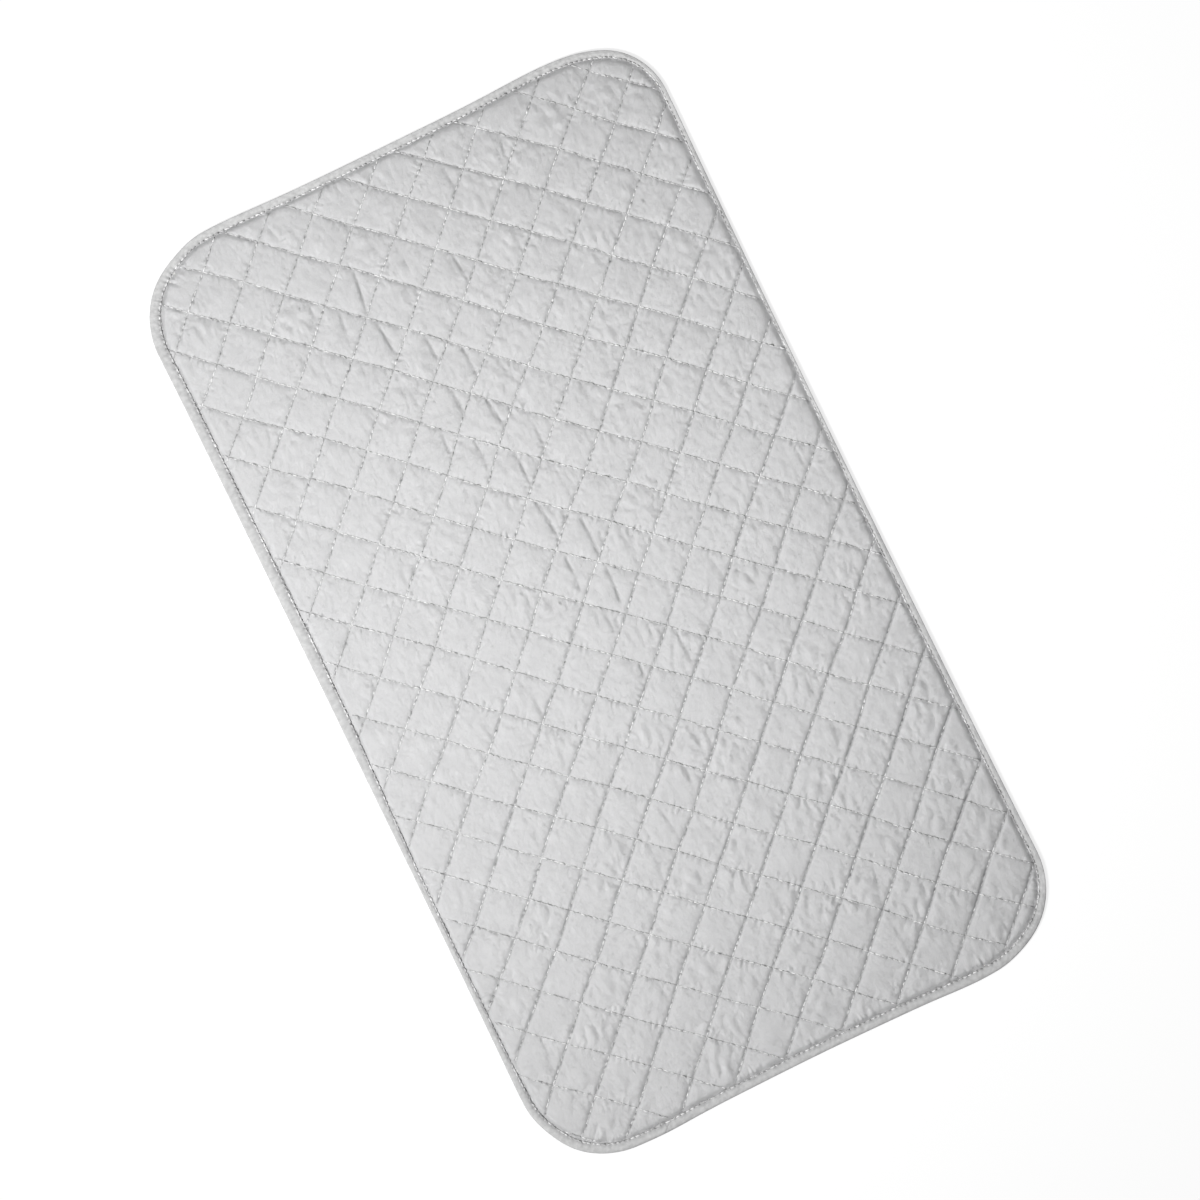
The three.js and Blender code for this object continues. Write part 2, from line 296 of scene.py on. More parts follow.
def row_crossing(a, b):
    """Where row a of the first family crosses row b of the second. Fractions lie between rows."""
    u = ROW_OFFSET[0] + a * ROW_PITCH[0]
    v = ROW_OFFSET[1] + b * ROW_PITCH[1]
    return ROW_INVERSE[0, 0] * u + ROW_INVERSE[0, 1] * v, ROW_INVERSE[1, 0] * u + ROW_INVERSE[1, 1] * v


def drawn_in(places, steps):
    """Grid lines as parts of the distance between rows, closer together beside the rows."""
    part = places / steps
    whole = np.floor(part)
    inside = part - whole
    stitches = np.minimum(inside, 1 - inside) * STITCHES_PER_DIAMOND
    near = np.where(stitches < 1, stitches**1.5, stitches) / STITCHES_PER_DIAMOND
    return whole + np.where(inside <= 0.5, near, 1 - near)


def make_active(piece):
    bpy.ops.object.select_all(action="DESELECT")
    bpy.context.view_layer.objects.active = piece
    piece.select_set(True)


def use_mode(name):
    bpy.ops.object.mode_set(mode=name)


def edit_whole(piece, tool):
    """Uses one edit mode tool on the whole of a piece."""
    make_active(piece)
    use_mode("EDIT")
    bpy.ops.mesh.select_all(action="SELECT")
    tool()
    use_mode("OBJECT")


def select_faces(piece, chosen):
    """Opens a piece in edit mode with only the chosen faces selected."""
    make_active(piece)
    bpy.context.tool_settings.mesh_select_mode = (False, False, True)
    use_mode("EDIT")
    bpy.ops.mesh.select_all(action="DESELECT")
    use_mode("OBJECT")
    piece.data.polygons.foreach_set("select", chosen)
    use_mode("EDIT")


def read_numbers(items, name, width):
    """One row of numbers for each point or face of a mesh."""
    flat = np.empty(len(items) * width, np.float32)
    items.foreach_get(name, flat)
    return flat.reshape(-1, width).astype(float)


def points_of(piece):
    return read_numbers(piece.data.vertices, "co", 3)


def middles_of(piece):
    return read_numbers(piece.data.polygons, "center", 3)


def set_points(piece, points):
    piece.data.vertices.foreach_set("co", points.astype(np.float32).ravel())
    piece.data.update()


def set_marks(piece, marks):
    """Keeps one number for each point of a piece, for its material to read."""
    for mark, value in marks:
        kept = piece.data.attributes.new(mark, "FLOAT", "POINT")
        kept.data.foreach_set("value", value.astype(np.float32).ravel())


def new_object(name, data):
    thing = bpy.data.objects.new(name, data)
    bpy.context.scene.collection.objects.link(thing)
    return thing


def mesh_object(name, points, faces, flat=None):
    """A smooth piece. flat is where each point lies on the cloth before it is sewn, for the weave."""
    mesh = bpy.data.meshes.new(name)
    mesh.from_pydata(points.tolist(), [], faces)
    if flat is not None:
        corner = np.empty(len(mesh.loops), np.int32)
        mesh.loops.foreach_get("vertex_index", corner)
        layer = mesh.uv_layers.new(name="flat")
        layer.data.foreach_set("uv", flat[corner].astype(np.float32).ravel())
    mesh.polygons.foreach_set("use_smooth", np.ones(len(mesh.polygons), bool))
    mesh.update()
    return new_object(name, mesh)


class QuiltGrid:
    """A flat grid of cloth that follows the stitch rows and stops at the pad's edge."""

    def __init__(self, steps):
        self.steps = steps
        reach = ROWS_EACH_WAY * steps
        places = np.arange(-reach, reach + 1)
        row_a, row_b = np.meshgrid(places, places, indexing="ij")
        x, y = row_crossing(drawn_in(row_a, steps), drawn_in(row_b, steps))
        dx, dy = row_wander(x, y)
        x, y = x + dx, y + dy
        index = np.arange(row_a.size).reshape(row_a.shape)
        corners = [index[:-1, :-1], index[1:, :-1], index[1:, 1:], index[:-1, 1:]]
        quads = np.stack(corners, -1).reshape(-1, 4)
        flat_x, flat_y = x.ravel(), y.ravel()
        middle = edge_depth(flat_x[quads].mean(1), flat_y[quads].mean(1))[0]
        quads = quads[middle > CLOTH_EDGE_INSET]
        used, faces = np.unique(quads, return_inverse=True)
        self.faces = faces.reshape(-1, 4)
        self.a = row_a.ravel()[used]
        self.b = row_b.ravel()[used]
        self.x, self.y = self._trimmed(flat_x[used], flat_y[used])
        self.place = {pair: n for n, pair in enumerate(zip(self.a.tolist(), self.b.tolist()))}
        place_a, place_b = drawn_in(self.a, steps), drawn_in(self.b, steps)
        part_a, part_b = place_a % 1, place_b % 1
        self.puff = np.sin(math.pi * part_a) * np.sin(math.pi * part_b)
        self.off_a = np.minimum(part_a, 1 - part_a) * ROW_PITCH[0]
        self.off_b = np.minimum(part_b, 1 - part_b) * ROW_PITCH[1]
        self.off_row = np.minimum(self.off_a, self.off_b)
        self.along_a = place_b * STITCHES_PER_DIAMOND
        self.along_b = place_a * STITCHES_PER_DIAMOND
        self.clear = edge_depth(self.x, self.y)[0] - tape_shown(self.x, self.y)
        self.inside = climb(self.clear, FULL_RUN)

    def _trimmed(self, x, y):
        """Brings the stepped outer edge of the grid to a smooth line."""
        sides = np.concatenate([self.faces[:, [n, (n + 1) % 4]] for n in range(4)])
        pairs, uses = np.unique(np.sort(sides, 1), axis=0, return_counts=True)
        edge = np.unique(pairs[uses == 1])
        depth, in_x, in_y = edge_depth(x[edge], y[edge])
        move = CLOTH_EDGE_INSET - depth
        x[edge] += in_x * move
        y[edge] += in_y * move
        return x, y

    def holes(self):
        """The points where the needle goes through."""
        hole = self.steps // STITCHES_PER_DIAMOND
        on_a = (self.a % self.steps == 0) & (self.b % hole == 0)
        on_b = (self.b % self.steps == 0) & (self.a % hole == 0)
        return (on_a | on_b) & (self.clear > 0)

    def waves(self, wavelength, seed):
        return waves(self.x, self.y, wavelength, seed)

    def base(self, edge_z, hole_z):
        """The height of the sewn points: that of the edge beside the tape, and that of the rows inside."""
        return edge_z + (hole_z - edge_z) * climb(self.clear - HELD_EDGE, HEM_RUN)

    def cloth(self, name, z):
        flat = np.stack([self.x, self.y], -1)
        return mesh_object(name, np.stack([self.x, self.y, z], -1), self.faces.tolist(), flat)


def blow_up(piece, held, slack, pressure, point_mass):
    """Simulates a cloth that is held at some points and is larger than the space between them."""
    make_active(piece)
    sewn = piece.vertex_groups.new(name="sewn")
    sewn.add(np.nonzero(held)[0].tolist(), 1.0, "REPLACE")
    loose = piece.vertex_groups.new(name="loose")
    top_level = 15
    levels = np.round(slack * top_level).astype(int)
    for level in range(top_level + 1):
        loose.add(np.nonzero(levels == level)[0].tolist(), level / top_level, "REPLACE")
    cloth = piece.modifiers.new("Cloth", "CLOTH")
    settings = cloth.settings
    settings.quality = 4
    settings.mass = point_mass
    settings.vertex_group_mass = "sewn"
    settings.vertex_group_shrink = "loose"
    settings.shrink_min = -0.012
    settings.shrink_max = -0.034
    settings.tension_stiffness = 5
    settings.compression_stiffness = 5
    settings.shear_stiffness = 2
    settings.bending_stiffness = 0.006
    settings.air_damping = 1
    settings.use_pressure = True
    settings.uniform_pressure_force = pressure
    settings.effector_weights.gravity = 0
    cloth.collision_settings.use_collision = False
    for number in range(1, SIM_FRAMES + 1):
        bpy.context.scene.frame_set(number)
    bpy.ops.object.modifier_apply(modifier="Cloth")
    bpy.context.scene.frame_set(1)
    piece.vertex_groups.clear()


def small_creases():
    """Creases along X in some of the other diamonds, more of them towards the far end. In mm."""
    rng = np.random.default_rng(61)
    made = []
    for a in range(-ROWS_EACH_WAY, ROWS_EACH_WAY):
        for b in range(-ROWS_EACH_WAY, ROWS_EACH_WAY):
            x, y = row_crossing(np.array([a + 0.5]), np.array([b + 0.5]))
            chance, aside, share, tilt, depth, width = rng.random(6)
            if edge_depth(x, y)[0][0] < 24 * MM:
                continue
            x, y = x[0] / MM, y[0] / MM
            if chance > 0.20 + 0.26 * rising(x, 40, 60) + 0.10 * rising(y, 20, 50):
                continue
            aside = 2 + 12 * aside
            half = (25 - aside) * (0.8 + 0.3 * share)
            lean = 0.5 * (tilt - 0.5) * half
            ends = (x - half, y + aside - lean, x + half, y + aside + lean)
            made.append((*ends, 0.12 + 0.5 * depth**2, 0.7 + 0.9 * width))
    return made


def crease_place(crease, x, y):
    """How far points lie along a crease and across it, and the crease's length."""
    x0, y0, x1, y1 = (value * MM for value in crease[:4])
    from_x, from_y = x - x0, y - y0
    run_x, run_y = x1 - x0, y1 - y0
    length = math.hypot(run_x, run_y)
    along = (from_x * run_x + from_y * run_y) / length
    bow = 0.02 * length * np.sin(math.pi * climb(along, length))
    across = (-from_x * run_y + from_y * run_x) / length - bow
    return along, across, length


def split_near_creases(piece, creases):
    """Cuts the faces along the creases into smaller ones, so that the folds come out sharp."""
    middle = middles_of(piece)
    near = np.zeros(len(middle), bool)
    for crease in creases:
        along, across, length = crease_place(crease, middle[:, 0], middle[:, 1])
        near |= (along > -2 * MM) & (along < length + 2 * MM) & (across > -4 * MM) & (across < 3 * MM)
    select_faces(piece, near)
    bpy.ops.mesh.subdivide(number_cuts=1)
    use_mode("OBJECT")


def press_creases(x, y, off_row, creases):
    """How far the creases sink the face, and how close each point is to a fold line, which sets the painted
    shade in the tight fold.
    """
    sunk = np.zeros_like(x)
    line = np.zeros_like(x)
    fade = climb(off_row - 0.2 * MM, 0.8 * MM)
    for crease in creases:
        depth, width = crease[4], crease[5] * MM
        along, across, length = crease_place(crease, x, y)
        ends = climb(along + MM, 3 * MM) * climb(length + MM - along, 5 * MM)
        ends = ends * (0.85 + 0.3 * np.sin(along / (4.3 * MM) + 40 * depth))
        left, right = np.minimum(across, 0), np.maximum(across, 0)
        slope = 0.6 * np.exp(left / (3.2 * width)) + 0.4 * np.exp(left / (0.9 * width))
        sunk += depth * MM * ends * (slope * np.exp(-right / (2.4 * width)))
        # Painted shade in the tight fold, darker for deeper creases
        line = np.maximum(line, depth * ends * hump(across, -0.4 * MM, 0.9 * MM))
    return sunk * fade, np.clip(line * fade, 0, 1)


def thin_out(piece, limit):
    """Joins faces where the cloth is nearly flat, down to a number of triangles, and smooths the slivers."""
    make_active(piece)
    triangles = sum(len(face.vertices) - 2 for face in piece.data.polygons)
    fewer = piece.modifiers.new("Decimate", "DECIMATE")
    fewer.ratio = min(1.0, limit / triangles)
    fewer.use_collapse_triangulate = True
    bpy.ops.object.modifier_apply(modifier="Decimate")
    for _ in range(3):
        normal = read_numbers(piece.data.polygons, "normal", 3)
        middle = middles_of(piece)
        on_show = edge_depth(middle[:, 0], middle[:, 1])[0] > 2 * CLOTH_EDGE_INSET
        select_faces(piece, on_show & (normal[:, 2] < STEEP_FACE))
        bpy.ops.mesh.vertices_smooth(factor=0.5, repeat=2)
        use_mode("OBJECT")


def groove_depths(grid):
    """How deep each family's rows are drawn in. Near one corner the second family's are left loose."""
    x, y = grid.x, grid.y
    far, near = rising(x, 0.06, 0.07), rising(-x, 0.27, 0.05)
    far_side = 0.35 * hump(x, -0.16, 0.12) * hump(y, 0.19, 0.07)
    depth_a = (0.70 + 0.66 * far) * (1 + 1.4 * y + 5 * y**2) * (1 + 0.16 * grid.waves(0.080, 26)) + far_side
    depth_b = (0.44 + 0.44 * near) * (1 + 0.6 * y) * (1 + 0.20 * grid.waves(0.080, 27))
    loose = hump(x, -0.398, 0.034) * hump(y, 0.158, 0.045)
    return depth_a * MM, depth_b * (1 - 0.9 * loose) * MM


def beside(off):
    """0 on a row or an edge and 1 away from it."""
    return 1 - np.exp(-(off**1.3))


def stitch_bulge(grid):
    """0 at the needle holes and about 1 half way between them, for points on the rows."""
    bulge_a = 0.85 * np.sin(math.pi * grid.along_a) ** 2
    bulge_b = 1.1 * np.sin(math.pi * grid.along_b) ** 2
    return np.where(grid.off_a < grid.off_b, bulge_a, np.where(grid.off_b < grid.off_a, bulge_b, 0.0))


def row_puckers(grid, off, off_other, along, seed):
    """Short ridges that run out from between one family's stitches and fade before the other family's."""
    strong = np.clip(0.5 + 0.5 * grid.waves(0.030, seed), 0, 1.5)
    reach = PUCKER_REACH * (1 + 0.4 * grid.waves(0.020, seed + 2))
    drift = 0.6 * grid.waves(0.014, seed + 4) * climb(off, 4 * MM)
    ridge = -np.cos(2 * math.pi * along + drift) * np.exp(-off / np.maximum(reach, MM))
    return ridge * (strong * climb(off_other, 4 * MM))


def puckers(grid):
    """The puckers of both families. The second family's are stronger."""
    ridge_a = row_puckers(grid, grid.off_a, grid.off_b, grid.along_a, 36)
    ridge_b = row_puckers(grid, grid.off_b, grid.off_a, grid.along_b, 37)
    return PUCKER_HEIGHT * (ridge_a + 1.4 * ridge_b)


def edge_puckers(grid):
    """Short ridges that run out from under the binding, more of them at the corners and the far end."""
    run = edge_run(grid.x, grid.y)
    ridges = waves(run, 0.2 * grid.clear, 0.0042, 34, 24)
    strong = np.clip(0.35 + 0.6 * waves(run, np.zeros_like(run), 0.060, 35), 0, 1.4)
    strong = strong * (0.6 + 0.4 * rising(grid.x, 0.10, 0.08))
    strong = strong * climb(np.abs(grid.x) - 2 * MM, 12 * MM)
    _, in_x, in_y = edge_depth(grid.x, grid.y)
    strong = strong * (1 + 1.6 * np.abs(in_x * in_y))
    reach = climb(grid.clear, 1.5 * MM) * np.exp(-np.maximum(grid.clear, 0) / (5 * MM))
    return EDGE_PUCKER * ridges * strong * reach


def crumple(grid):
    """Shallow facets with sharp valleys between them, longer along X, as coated cloth keeps them."""
    large = np.hypot(waves(grid.x, 1.6 * grid.y, 0.026, 44, 14), 0.25)
    middle = np.hypot(waves(grid.x, 1.5 * grid.y, 0.012, 45, 20), 0.25)
    small = waves(grid.x, 1.3 * grid.y, 0.0052, 46, 30)
    strong = np.clip(0.8 + 0.4 * grid.waves(0.075, 47), 0.3, 1.4)
    strong = strong * (1 + 0.4 * rising(grid.x, 0.14, 0.06))
    return CRUMPLE * strong * ((large - 0.8) + 0.4 * (middle - 0.8) + 0.12 * small)


def fold_detail(grid, rise):
    """What the simulation gives beyond the average diamond: pulls, leans and small folds."""
    place = (grid.a % grid.steps) * grid.steps + grid.b % grid.steps
    full = grid.inside == 1
    total = np.bincount(place[full], rise[full], grid.steps**2)
    count = np.bincount(place[full], minlength=grid.steps**2)
    extra = rise - (total / np.maximum(count, 1))[place] * grid.inside
    return FOLD_LIMIT * np.tanh(extra / FOLD_LIMIT)


def quilted_height(grid, base, bead, held, folds, depths):
    """The height of the face cloth, from its sewn points up to the crowns of its diamonds."""
    sunk = [depth * (1 - beside(off / GROOVE_REACH)) for depth, off in zip(depths, (grid.off_a, grid.off_b))]
    eased = climb(grid.y, HALF_WIDTH) ** 2 * rising(-grid.x, 0.02, 0.04)
    rim = beside(np.maximum(grid.clear - HELD_EDGE, 0) / (EDGE_REACH * (1 + 0.9 * eased)))
    wall = beside(grid.off_row / GROOVE_REACH) * rim
    crown = CROWN * (1 + 0.12 * grid.waves(0.055, 30)) * (grid.puff * grid.inside) ** 0.6
    settled = climb(grid.off_row, 3 * MM) * grid.inside
    free = crown + folds * wall + crumple(grid) * settled + puckers(grid) * grid.inside + edge_puckers(grid)
    ground = base + (WALL_HEIGHT - np.maximum(*sunk)) * rim
    return ground + np.where(held, bead, free)


def paint_face_shade(piece, grid, depths, pierced):
    """Paints shade on the face: in the grooves along the rows, in the gap beside the tape and in the needle
    holes.
    """
    # Painted shade in the grooves, darker where a row is drawn in deeper
    near_a = depths[0] / MM * hump(grid.off_a, 0, SHADE_PAINT_REACH)
    near_b = depths[1] / MM * hump(grid.off_b, 0, SHADE_PAINT_REACH)
    near = np.maximum(near_a, near_b) * (grid.clear > 0)
    # Painted shade in the gap along the tape's inner edge, stronger and weaker along it
    run = edge_run(grid.x, grid.y)
    uneven = np.clip(0.8 + 0.7 * waves(run, np.zeros_like(run), 0.009, 28), 0, 2)
    near = np.maximum(near, uneven * hump(grid.clear, 0.4 * MM, SHADE_PAINT_REACH))
    set_marks(piece, (("painted_recess_shade", near), ("painted_hole_shade", pierced), ("off_row", grid.off_row)))


def sew_face():
    """The face cloth: blown up over the wadding, then shaped to the quilting, creased and crinkled."""
    grid = QuiltGrid(FACE_STEPS)
    rng = np.random.default_rng(31)
    holes = grid.holes()
    on_row = (grid.off_row == 0) & (grid.clear > 0)
    held = on_row | (grid.clear < HELD_EDGE)
    base = grid.base(FACE_EDGE_Z, FACE_HOLE_Z)
    bead = BEAD_HEIGHT * stitch_bulge(grid) * on_row * (1 + 0.6 * grid.waves(0.009, 32))
    bead = bead + rng.normal(0, 0.08 * MM, holes.size) * holes
    z = base + bead + 1.2 * MM * grid.puff * grid.inside
    z = z + rng.normal(0, 0.02 * MM, z.size) * grid.inside
    piece = grid.cloth("face_cloth_sewn", z)
    folds = np.zeros_like(z)
    slack = np.clip(0.45 + 0.3 * grid.waves(0.060, 33), 0, 1)
    blow_up(piece, held, slack, pressure=12, point_mass=0.00015)
    folds = fold_detail(grid, points_of(piece)[:, 2] - base)
    points = points_of(piece)
    depths = groove_depths(grid)
    points[:, 2] = quilted_height(grid, base, bead, held, folds, depths)
    points[:, 2] += lie(points[:, 0], points[:, 1])
    set_points(piece, points)
    # Painted shade in the grooves, beside the tape and in the needle holes
    paint_face_shade(piece, grid, depths, holes * rng.uniform(0.3, 1.0, holes.size))
    creases = CREASES + small_creases()
    split_near_creases(piece, creases)
    finer = points_of(piece)
    off_row = read_numbers(piece.data.attributes["off_row"].data, "value", 1)[:, 0]
    sunk, fold = press_creases(finer[:, 0], finer[:, 1], off_row, creases)
    finer[:, 2] -= sunk
    set_points(piece, finer)
    # Painted shade along the creases' fold lines
    set_marks(piece, (("painted_fold_shade", fold),))
    thin_out(piece, FACE_TRIANGLES)
    return piece, grid, finer[: len(points)]


def sew_backing():
    """The backing cloth: blown downwards and pressed flat by the table."""
    grid = QuiltGrid(BACK_STEPS)
    rng = np.random.default_rng(41)
    z = grid.base(BACK_EDGE_Z, BACK_HOLE_Z)
    z = z - 0.6 * MM * grid.puff * grid.inside + rng.normal(0, 0.03 * MM, z.size) * grid.inside
    piece = grid.cloth("backing_cloth_sewn", z)
    edit_whole(piece, bpy.ops.mesh.flip_normals)
    held = grid.holes() | (grid.clear < HELD_EDGE)
    slack = np.clip(0.25 + 0.25 * grid.waves(0.050, 43), 0, 1)
    blow_up(piece, held, slack, pressure=6, point_mass=0.0006)
    points = points_of(piece)
    pressed = np.clip(points[:, 2] / TABLE_SOFTNESS, -30, 30)
    points[:, 2] = TABLE_SOFTNESS * np.log1p(np.exp(pressed))
    points[:, 2] += lie(points[:, 0], points[:, 1])
    set_points(piece, points)
    return piece, grid, points


def points_at(grid, points, pairs):
    """The points of a cloth at places of the wadding's grid, and None where the cloth has none."""
    rate = grid.steps // WADDING_STEPS
    found = (grid.place.get((a * rate, b * rate)) for a, b in pairs)
    return [None if n is None else points[n] for n in found]


def fill_wadding(face_grid, face_points, back_grid, back_points):
    """The wadding: a closed pad between the two cloths."""
    grid = QuiltGrid(WADDING_STEPS)
    pairs = list(zip(grid.a.tolist(), grid.b.tolist()))
    above = points_at(face_grid, face_points, pairs)
    below = points_at(back_grid, back_points, pairs)
    both = [n for n in range(len(pairs)) if above[n] is not None and below[n] is not None]
    renumber = {n: k for k, n in enumerate(both)}
    faces = [[renumber[n] for n in quad] for quad in grid.faces.tolist() if all(n in renumber for n in quad)]
    over = np.array([above[n] for n in both])
    under = np.array([below[n] for n in both])
    room = over[:, 2] - under[:, 2]
    top, bottom = over.copy(), over.copy()
    top[:, 2] = over[:, 2] - 0.42 * room
    bottom[:, 2] = under[:, 2] + 0.25 * room
    sides = dict.fromkeys((quad[n], quad[(n + 1) % 4]) for quad in faces for n in range(4))
    outline = [side for side in sides if side[::-1] not in sides]
    count = len(both)
    shell = [[n + count for n in quad] for quad in faces]
    shell += [quad[::-1] for quad in faces]
    shell += [[start, end, end + count, start + count] for start, end in outline]
    piece = mesh_object("wadding_pad", np.concatenate([bottom, top]), shell)
    edit_whole(piece, bpy.ops.mesh.delete_loose)
    return piece


def outwards(degrees):
    return np.array([math.cos(math.radians(degrees)), math.sin(math.radians(degrees))])


def straight_stations(start, end, out, spacing):
    """Points along a straight stretch of the edge, without its end."""
    steps = max(1, int(round(np.linalg.norm(end - start) / spacing)))
    return [(*(start + (end - start) * n / steps), -out[0], -out[1], 0.0) for n in range(steps)]


def edge_stations(spacing):
    """Points along the edge, anticlockwise from the tape's join: X, Y, the direction inwards, the bend."""
    join = np.array([HALF_LENGTH, -HALF_WIDTH + CORNER_RADII[(1, -1)] + JOIN_FROM_CORNER])
    made = []
    here = join
    for sign_x, sign_y, turn in ((1, 1, 0), (-1, 1, 90), (-1, -1, 180), (1, -1, 270)):
        radius = CORNER_RADII[(sign_x, sign_y)]
        centre = np.array([sign_x * (HALF_LENGTH - radius), sign_y * (HALF_WIDTH - radius)])
        made += straight_stations(here, centre + radius * outwards(turn), outwards(turn), spacing)
        steps = int(round(radius * math.pi / 2 / spacing))
        for n in range(steps):
            out = outwards(turn + 90 * n / steps)
            bend = math.sin(math.pi * n / steps)
            made.append((*(centre + radius * out), -out[0], -out[1], bend))
        here = centre + radius * outwards(turn + 90)
    made += straight_stations(here, join, (1.0, 0.0), spacing)
    return np.array(made)


def tape_profiles():
    """The tape's section, from its lower inner edge round the fold to the upper one, then back inside.

    The first one is folded round, the second one flat on top. Points are inset and height, in mm.
    """
    lower = [(9.0, 0.0), (7.0, 0.0), (5.0, 0.0), (3.2, 0.0)]
    lower += [(2.0, 0.02), (1.2, 0.10), (0.6, 0.32), (0.2, 0.72)]
    nose = [(0.0, 1.25), (0.12, 1.75), (0.36, 2.2), (0.66, 2.58), (1.0, 2.9), (1.4, 3.18), (1.9, 3.42)]
    leg = [(2.5, 3.6), (3.2, 3.72), (3.9, 3.78), (4.6, 3.77), (5.3, 3.71), (5.9, 3.62), (6.4, 3.52)]
    rim = [(7.0, 3.38), (7.6, 3.26), (8.1, 3.2), (8.6, 3.14), (8.9, 3.04), (9.0, 2.85)]
    back = [(8.8, 2.6), (5.0, 3.1), (2.6, 2.75), (0.8, 1.5), (1.6, 0.66), (5.0, 0.6), (9.0, 0.6)]
    flat_lower = [(9.0, 0.0), (7.0, 0.0), (5.0, 0.0), (3.2, 0.02)]
    flat_lower += [(2.0, 0.18), (1.2, 0.55), (0.6, 1.1), (0.2, 1.8)]
    flat_nose = [(0.0, 2.9), (0.03, 3.25), (0.1, 3.48), (0.2, 3.64), (0.4, 3.77), (0.7, 3.85), (1.2, 3.89)]
    flat_leg = [(2.1, 3.92), (2.8, 3.92), (3.5, 3.89), (4.2, 3.83), (5.0, 3.74), (5.7, 3.62), (6.3, 3.51)]
    rounded = np.array(lower + nose + leg + rim + back) * MM
    flat = np.array(flat_lower + flat_nose + flat_leg + rim + back) * MM
    return rounded, flat, len(rounded) - len(back)


def spread(along, total, draws):
    """Random draws spread evenly along the tape, with straight changes between them."""
    return np.interp(along, np.linspace(0, total, len(draws)), draws)[:, None]


def fold_tape():
    """The binding tape, folded over the edge, dented by its seam and gathered at the corners."""
    stations = edge_stations(TAPE_STEP)
    section, flat_section, shown_points = tape_profiles()
    outer = section[:shown_points]
    count, size = len(stations), len(section)
    edge_x, edge_y, in_x, in_y, bend = (stations[:, n : n + 1] for n in range(5))
    step = np.linalg.norm(np.roll(stations[:, :2], -1, 0) - stations[:, :2], axis=1)
    along = np.concatenate([[0], np.cumsum(step)[:-1]])
    total = step.sum()
    stitch = total / round(total / SEAM_STITCH)
    phase = 2 * math.pi * along[:, None] / stitch
    rng = np.random.default_rng(51)
    ease = spread(along, total, rng.normal(0, 1, 520))
    slow = spread(along, total, rng.normal(0, 1, 70))
    pull = spread(along, total, rng.uniform(0.4, 1.6, 420))

    # The section at each station: dented by the seam, lumpy, gathered at the corners, lapped at the join
    by_end = np.clip(-in_x, 0, 1) ** 2
    inset = section[None, :, 0] * by_end + flat_section[None, :, 0] * (1 - by_end)
    height = section[None, :, 1] * by_end + flat_section[None, :, 1] * (1 - by_end)
    upper = (section[:, 1] > TAPE_HEIGHT * 0.7) & (np.arange(size) < shown_points)
    to_seam = np.abs(inset - SEAM_INSET)
    # Painted shade beside the seam's dent
    seam_shade = hump(inset, SEAM_INSET - 1.4 * MM, 1.1 * MM) * upper * np.clip(0.3 + 0.12 * ease, 0, 1)
    height -= hump(to_seam, 0, 0.9 * MM) * upper * (0.28 * MM + 0.26 * MM * np.cos(phase) * pull)
    height -= upper * (0.13 * MM * np.cos(phase) * pull) * np.exp(-to_seam / (2.4 * MM))
    height += upper * (0.17 * MM * ease + 0.18 * MM * slow) * climb(inset, 3 * MM)
    fine = waves(edge_x + in_x * inset, edge_y + in_y * inset, 4.5 * MM, 52, 30)
    height += upper * 0.07 * MM * fine * climb(inset, 2 * MM)
    gather = bend * np.sin(2 * math.pi * along[:, None] / GATHER_LENGTH + 2 * ease)
    height += upper * (0.32 * MM * gather) * climb(inset - 2 * MM, 5 * MM)
    inner_edge = climb(section[:, 0] - SEAM_INSET, 2 * MM) * upper
    inset += inner_edge * (0.30 * MM * np.cos(phase) + 0.45 * MM * slow + 0.90 * MM * ease)
    lap = along[:, None] - (inset - TAPE_WIDTH / 2)
    lap = np.where(lap > total / 2, lap - total, lap)
    height += upper * LAP_HEIGHT * (climb(lap, 0.9 * MM) * np.clip(1 - lap / LAP_LENGTH, 0, 1))

    # The part on the face is drawn together or out to the width that shows
    shown = tape_shown(stations[:, 0], stations[:, 1])[:, None]
    narrowed = TAPE_FOLD + (inset - TAPE_FOLD) * (shown - TAPE_FOLD) / (TAPE_WIDTH - TAPE_FOLD)
    on_face = np.ones(size, bool)
    on_face[: np.count_nonzero(outer[:, 1] < TAPE_HEIGHT * 0.1)] = False
    on_face[-3:] = False
    inset = np.where((inset > TAPE_FOLD) & on_face, narrowed, inset)
    x = edge_x + in_x * inset
    y = edge_y + in_y * inset
    z = height + lie(x, y)
    index = np.arange(count * size).reshape(count, size)
    ahead = np.roll(index, -1, 0)
    quads = np.stack([index, ahead, np.roll(ahead, -1, 1), np.roll(index, -1, 1)], -1).reshape(-1, 4)
    girth = np.concatenate([[0], np.cumsum(np.linalg.norm(np.diff(section, axis=0), axis=1))])
    flat = np.stack(np.broadcast_arrays(along[:, None], girth[None, :]), -1).reshape(-1, 2)
    points = np.stack([x, y, z], -1)
    piece = mesh_object("edge_binding_folded", points.reshape(-1, 3), quads[:, ::-1].tolist(), flat)

    # Painted shade at the seam's holes, beside the seam, along the inner edge and at the lap, where the
    # dents and steps of the tape would be in shadow
    hole = hump(to_seam, 0, 0.7 * MM) * upper * np.clip(np.cos(phase), 0, 1) ** 2
    low = climb(section[:, 0] - 8.3 * MM, 0.7 * MM) * upper * np.ones((count, 1))
    low = np.maximum(low, upper * hump(lap, -0.1 * MM, 0.7 * MM))
    set_marks(piece, (("painted_hole_shade", hole), ("painted_recess_shade", np.maximum(low, seam_shade))))
    seam_column = int(np.argmin(np.abs(outer[:, 0] - SEAM_INSET) + (outer[:, 1] < TAPE_HEIGHT / 2)))
    return piece, along, total, points[:, seam_column]


